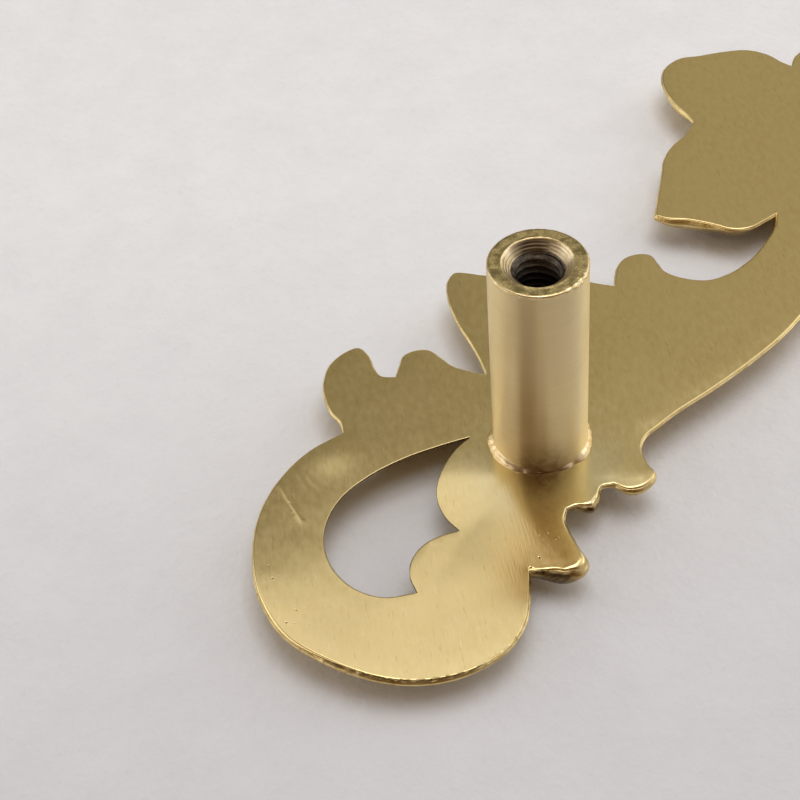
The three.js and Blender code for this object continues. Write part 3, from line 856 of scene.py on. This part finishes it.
class Nodes:
    """Small helper that fills one node tree."""

    def __init__(self, tree):
        self.tree = tree
        tree.nodes.clear()

    def add(self, kind, **settings):
        node = self.tree.nodes.new(kind)
        for key, value in settings.items():
            setattr(node, key, value)
        return node

    def join(self, out, into):
        self.tree.links.new(out, into)

    def along(self, place, direction):
        """How far a place lies along a direction of the frame."""
        made = self.add("ShaderNodeVectorMath", operation="DOT_PRODUCT")
        made.inputs[1].default_value = direction
        self.join(place, made.inputs[0])
        return made.outputs["Value"]

    def remap(self, value, low, high, to_low, to_high, kind="LINEAR"):
        made = self.add("ShaderNodeMapRange", interpolation_type=kind)
        for name, number in (("From Min", low), ("From Max", high), ("To Min", to_low),
                             ("To Max", to_high)):
            made.inputs[name].default_value = number
        self.join(value, made.inputs["Value"])
        return made.outputs["Result"]

    def mix(self, factor, a, b):
        made = self.add("ShaderNodeMix", data_type="RGBA")
        self.join(factor, made.inputs["Factor"])
        for value, socket in ((a, made.inputs["A"]), (b, made.inputs["B"])):
            if isinstance(value, tuple):
                socket.default_value = (*value, 1)
            else:
                self.join(value, socket)
        return made.outputs["Result"]


class Tree(Nodes):
    """One material and its nodes."""

    def __init__(self, name):
        self.material = bpy.data.materials.new(name)
        self.material.use_nodes = True
        super().__init__(self.material.node_tree)
        self.shader = self.add("ShaderNodeBsdfPrincipled")
        out = self.add("ShaderNodeOutputMaterial")
        self.join(self.shader.outputs["BSDF"], out.inputs["Surface"])
        self.coords = self.add("ShaderNodeTexCoord").outputs["Object"]

    def noise(self, scale, detail=3.0, stretch=(1, 1, 1), turn=0.0, rough=0.5):
        """Noise with features of about 1 / scale metres, stretched along the turned axes."""
        mapping = self.add("ShaderNodeMapping", vector_type="TEXTURE")
        mapping.inputs["Rotation"].default_value = (0, 0, turn)
        mapping.inputs["Scale"].default_value = stretch
        self.join(self.coords, mapping.inputs["Vector"])
        made = self.add("ShaderNodeTexNoise")
        made.inputs["Scale"].default_value = scale
        made.inputs["Detail"].default_value = detail
        made.inputs["Roughness"].default_value = rough
        self.join(mapping.outputs["Vector"], made.inputs["Vector"])
        return made.outputs["Fac"]

    def bump(self, height, depth, strength=1.0, under=None):
        """Bump whose full height is depth metres."""
        made = self.add("ShaderNodeBump")
        made.inputs["Strength"].default_value = strength
        made.inputs["Distance"].default_value = depth
        self.join(height, made.inputs["Height"])
        if under is not None:
            self.join(under, made.inputs["Normal"])
        return made.outputs["Normal"]

    def multiply(self, a, b):
        made = self.add("ShaderNodeMath", operation="MULTIPLY")
        self.join(a, made.inputs[0])
        self.join(b, made.inputs[1])
        return made.outputs[0]

    def brushed(self, share, turn, axis):
        """Wider gloss across the brushing, whose direction is turned from the radial one."""
        self.shader.inputs["Anisotropic"].default_value = share
        self.shader.inputs["Anisotropic Rotation"].default_value = turn
        tangent = self.add("ShaderNodeTangent", direction_type="RADIAL", axis=axis)
        self.join(tangent.outputs["Tangent"], self.shader.inputs["Tangent"])

    def attribute(self, name):
        return self.add("ShaderNodeAttribute", attribute_name=name).outputs["Fac"]

    def finish(self, color, roughness, normal, metallic=1.0):
        self.shader.inputs["Metallic"].default_value = metallic
        for value, name in ((color, "Base Color"), (roughness, "Roughness"), (normal, "Normal")):
            self.join(value, self.shader.inputs[name])
        return self.material


# The grinding runs almost along the drawing's y axis
GRIND_TURN = math.pi / 2 - DRAWN_ANGLE + math.radians(5)


def back_material():
    t = Tree("linished_brass")
    grain = t.noise(9000, 3, (16, 1, 1), GRIND_TURN, 0.6)
    dashes = t.noise(5600, 2, (8, 1, 1), GRIND_TURN, 0.5)
    mottle = t.noise(1700, 3, (1.8, 1, 1), GRIND_TURN, 0.6)
    cloud = t.noise(160, 3)
    color = t.mix(t.remap(cloud, 0.3, 0.7, 0, 1), (0.78, 0.595, 0.265), (0.81, 0.625, 0.29))
    color = t.mix(t.remap(mottle, 0.35, 0.65, 0, 1), color, (0.84, 0.66, 0.32))
    color = t.mix(t.remap(dashes, 0.64, 0.74, 0, 0.4), color, (0.5, 0.36, 0.14))
    color = t.mix(t.remap(dashes, 0.36, 0.26, 0, 0.5), color, (0.92, 0.76, 0.44))
    patchy = t.remap(t.noise(2600, 4, rough=0.7), 0.3, 0.7, 0.2, 1)
    # Brazing stains, with painted shade along the eye's edge and in the post's reflection in front
    # of it
    stain_and_shade = t.multiply(t.attribute("patina_and_shade"), patchy)
    # Paler, greener tint in front of the post
    color = t.mix(t.attribute("front_tint"), color, (0.78, 0.72, 0.46))
    color = t.mix(stain_and_shade, color, (0.46, 0.33, 0.14))
    color = t.mix(t.attribute("pits"), color, (0.07, 0.045, 0.02))
    t.brushed(0.72, GRIND_TURN / (2 * math.pi), "X")
    normal = t.bump(dashes, 0.000006, 0.5, t.bump(grain, 0.0000035, 0.6))
    return t.finish(color, t.remap(mottle, 0.3, 0.7, 0.17, 0.21), normal)


def edge_material():
    t = Tree("cast_edge_brass")
    skin = t.noise(2600, 4, rough=0.6)
    cloud = t.noise(700, 3)
    color = t.mix(t.remap(cloud, 0.35, 0.65, 0, 1), (0.6, 0.44, 0.17), (0.8, 0.63, 0.31))
    color = t.mix(t.remap(skin, 0.58, 0.74, 0, 0.6), color, (0.26, 0.17, 0.07))
    # Dirt in the crease and crevices, and painted shade round the eye and below the lumps
    color = t.mix(t.attribute("patina_and_shade"), color, (0.09, 0.055, 0.025))
    normal = t.bump(skin, 0.00006, 0.7)
    return t.finish(color, t.remap(cloud, 0.3, 0.7, 0.24, 0.38), normal)


def front_material():
    t = Tree("carved_brass")
    skin = t.noise(1500, 4, rough=0.55)
    rubbed = t.noise(4000, 2, (6, 1, 1), 0.4)
    color = t.mix(t.remap(skin, 0.3, 0.7, 0, 1), (0.76, 0.58, 0.27), (0.82, 0.65, 0.32))
    color = t.mix(t.attribute("patina_and_shade"), color, (0.32, 0.2, 0.08))
    rough = t.remap(t.attribute("patina_and_shade"), 0, 1, 0.24, 0.5)
    normal = t.bump(rubbed, 0.00001, 0.4, t.bump(skin, 0.00003, 0.5))
    return t.finish(color, rough, normal)


def post_material():
    t = Tree("turned_brass_fine")
    rings = t.noise(11000, 2, (60, 60, 1), 0, 0.6)
    wide = t.noise(2400, 2, (40, 40, 1))
    cloud = t.noise(260, 3)
    color = t.mix(t.remap(cloud, 0.3, 0.7, 0, 1), (0.75, 0.615, 0.33), (0.8, 0.665, 0.38))
    color = t.mix(t.remap(rings, 0.35, 0.65, 0, 0.3), color, (0.9, 0.74, 0.46))
    # Painted brown shade at the front of the foot
    stain_and_shade = t.multiply(t.attribute("patina_and_shade"), t.remap(t.noise(1500, 3), 0.3, 0.7, 0.6, 1))
    color = t.mix(stain_and_shade, color, (0.2, 0.105, 0.045))
    t.brushed(0.9, 0.25, "Z")
    normal = t.bump(wide, 0.000006, 0.3, t.bump(rings, 0.000006, 0.5))
    return t.finish(color, t.remap(cloud, 0.3, 0.7, 0.42, 0.48), normal)


def end_material():
    t = Tree("pitted_brass")
    grit = t.noise(7500, 4, rough=0.65)
    cloud = t.noise(1500, 3)
    color = t.mix(t.remap(grit, 0.38, 0.64, 0, 1), (0.3, 0.225, 0.09), (0.62, 0.49, 0.23))
    color = t.mix(t.remap(cloud, 0.42, 0.62, 0, 0.75), color, (0.15, 0.115, 0.045))
    normal = t.bump(grit, 0.00003, 0.7)
    return t.finish(color, t.remap(grit, 0.3, 0.7, 0.5, 0.34), normal)


def thread_material():
    t = Tree("tapped_brass")
    film = t.noise(1800, 3)
    # Nearly black: oil on the tapped brass and painted shade inside the bore, darker still deeper
    # in
    color = t.mix(t.remap(film, 0.35, 0.65, 0, 1), (0.08, 0.064, 0.05), (0.2, 0.17, 0.135))
    color = t.mix(t.attribute("patina_and_shade"), color, (0.018, 0.015, 0.014))
    return t.finish(color, t.remap(film, 0.3, 0.7, 0.34, 0.5), t.bump(film, 0.00002, 0.5))


def mouth_material():
    t = Tree("countersunk_brass")
    film = t.noise(900, 3)
    fine = t.noise(5000, 2, (20, 20, 1))
    color = t.mix(t.remap(film, 0.4, 0.62, 0, 1), (0.88, 0.73, 0.48), (0.7, 0.56, 0.33))
    # Painted shade on the far side of the mouth and deeper in it
    color = t.mix(t.attribute("patina_and_shade"), color, (0.12, 0.085, 0.05))
    return t.finish(color, t.remap(film, 0.3, 0.7, 0.3, 0.42), t.bump(fine, 0.00003, 0.6))


def rim_material():
    t = Tree("rubbed_brass")
    film = t.noise(1900, 3, rough=0.6)
    color = t.mix(t.remap(film, 0.35, 0.65, 0, 1), (0.9, 0.74, 0.45), (0.66, 0.5, 0.24))
    return t.finish(color, t.remap(film, 0.3, 0.7, 0.24, 0.4), t.bump(film, 0.00002, 0.5))


def bead_material():
    t = Tree("braze_metal")
    skin = t.noise(1400, 3)
    fine = t.noise(4200, 2)
    color = t.mix(t.remap(skin, 0.3, 0.7, 0, 1), (0.84, 0.64, 0.34), (0.93, 0.77, 0.5))
    # Painted shade at the front of the bead
    color = t.mix(t.attribute("patina_and_shade"), color, (0.2, 0.11, 0.05))
    normal = t.bump(fine, 0.000012, 0.4, t.bump(skin, 0.00004, 0.5))
    return t.finish(color, t.remap(fine, 0.3, 0.7, 0.3, 0.44), normal)


def felt_material():
    t = Tree("felt")
    fibre = t.noise(1100, 5, rough=0.7)
    cloud = t.noise(170, 4, rough=0.6)
    # Painted shade: the felt darkens towards the camera
    painted_falloff = t.remap(t.along(t.coords, drawn_direction(0, 1, 0)), *FELT_SHADE_REACH, 0, 1)
    color = t.mix(painted_falloff, FELT_NEAR_SHADED, FELT_FAR_LIT)
    color = t.mix(t.remap(cloud, 0.3, 0.7, 0.12, 0), color, (0.5, 0.5, 0.53))
    color = t.mix(t.remap(fibre, 0.55, 0.75, 0, 0.12), color, (0.45, 0.45, 0.47))
    normal = t.bump(cloud, 0.0007, 0.5, t.bump(fibre, 0.00016, 0.5))
    t.shader.inputs["Specular IOR Level"].default_value = 0.1
    return t.finish(color, t.remap(fibre, 0, 1, 0.9, 1.0), normal, 0.0)


# Scene

def drawn_direction(x, y, z):
    """A direction of the drawing, in the frame."""
    return Matrix.Rotation(-DRAWN_ANGLE, 3, "Z") @ Vector((x, y, z))


def photo_camera():
    forward = Vector((0, math.cos(PITCH_DOWN), -math.sin(PITCH_DOWN)))
    side = Vector((1, 0, 0))
    down = forward.cross(side)
    right = side * math.cos(LEAN) + down * math.sin(LEAN)
    low = down * math.cos(LEAN) - side * math.sin(LEAN)
    half = FRAME_PIXELS / 2
    foot_x, foot_y = ((pixel - half) / FOCAL * FOOT_DEPTH for pixel in FOOT_PIXEL)
    place = -(right * foot_x + low * foot_y + forward * FOOT_DEPTH)
    axes = [drawn_direction(*v) for v in (right, -low, -forward)]
    data = bpy.data.cameras.new("photo_camera")
    data.sensor_width = SENSOR
    data.lens = FOCAL / FRAME_PIXELS * SENSOR
    data.clip_start = 0.01
    camera = bpy.data.objects.new("photo_camera", data)
    bpy.context.scene.collection.objects.link(camera)
    at = drawn_direction(*place) * MM + Vector((*POST_AXIS, BACK_HEIGHT))
    camera.matrix_world = Matrix.Translation(at) @ Matrix(axes).transposed().to_4x4()
    bpy.context.scene.camera = camera


def softbox(name, direction, size, radiance):
    """A soft light of the given radiance, in a direction of the drawing, facing the knob."""
    data = bpy.data.lights.new(name, "AREA")
    data.shape = "RECTANGLE"
    data.size, data.size_y = size
    data.energy = radiance * math.pi * size[0] * size[1]
    lamp = bpy.data.objects.new(name, data)
    bpy.context.scene.collection.objects.link(lamp)
    towards = drawn_direction(*direction).normalized()
    lamp.matrix_world = (Matrix.Translation(towards * LAMP_DISTANCE)
                         @ towards.to_track_quat("Z", "Y").to_matrix().to_4x4())


def light_scene():
    for name, (direction, size, radiance) in LAMPS.items():
        softbox(name, direction, size, radiance)
    world = bpy.data.worlds.new("studio")
    bpy.context.scene.world = world
    world.use_nodes = True
    t = Nodes(world.node_tree)
    out = t.add("ShaderNodeOutputWorld")
    walls = t.add("ShaderNodeBackground")
    t.join(walls_color(t), walls.inputs["Color"])
    seen = t.add("ShaderNodeBackground")
    seen.inputs["Color"].default_value = (*SEEN_COLOR, 1)
    mixed = t.add("ShaderNodeMixShader")
    t.join(t.add("ShaderNodeLightPath").outputs["Is Camera Ray"], mixed.inputs["Fac"])
    t.join(walls.outputs["Background"], mixed.inputs[1])
    t.join(seen.outputs["Background"], mixed.inputs[2])
    t.join(mixed.outputs["Shader"], out.inputs["Surface"])


def walls_color(t):
    """The colour of the studio in each direction."""
    place = t.add("ShaderNodeTexCoord").outputs["Generated"]

    def towards(direction, low, high):
        return t.remap(t.along(place, drawn_direction(*direction)), low, high, 0, 1, "SMOOTHSTEP")

    tent = t.mix(towards(DARK_SIDE, *DARK_SHADE), TENT_COLOR, DARK_COLOR)
    low, high, least = GAP_LEFT_SHADE
    gap = t.mix(towards((1, 0, 0), low, high), tuple(least * c for c in GAP_COLOR), GAP_COLOR)
    above = (0, -math.sin(GAP_RISE), math.cos(GAP_RISE))
    return t.mix(towards(above, -GAP_BLEND, GAP_BLEND), gap, tent)


def floor_piece():
    mesh = bpy.data.meshes.new("felt_floor")
    half = FLOOR_HALF
    mesh.from_pydata([(-half, -half, 0), (half, -half, 0), (half, half, 0), (-half, half, 0)],
                     [], [(0, 1, 2, 3)])
    mesh.materials.append(felt_material())
    floor = bpy.data.objects.new("felt_floor", mesh)
    bpy.context.scene.collection.objects.link(floor)


leaf_piece([back_material(), edge_material(), front_material()])
post_piece([post_material(), end_material(), thread_material(), mouth_material(), rim_material()])
bead_piece(bead_material())
floor_piece()
photo_camera()
light_scene()
bpy.context.scene.view_settings.view_transform = "Standard"
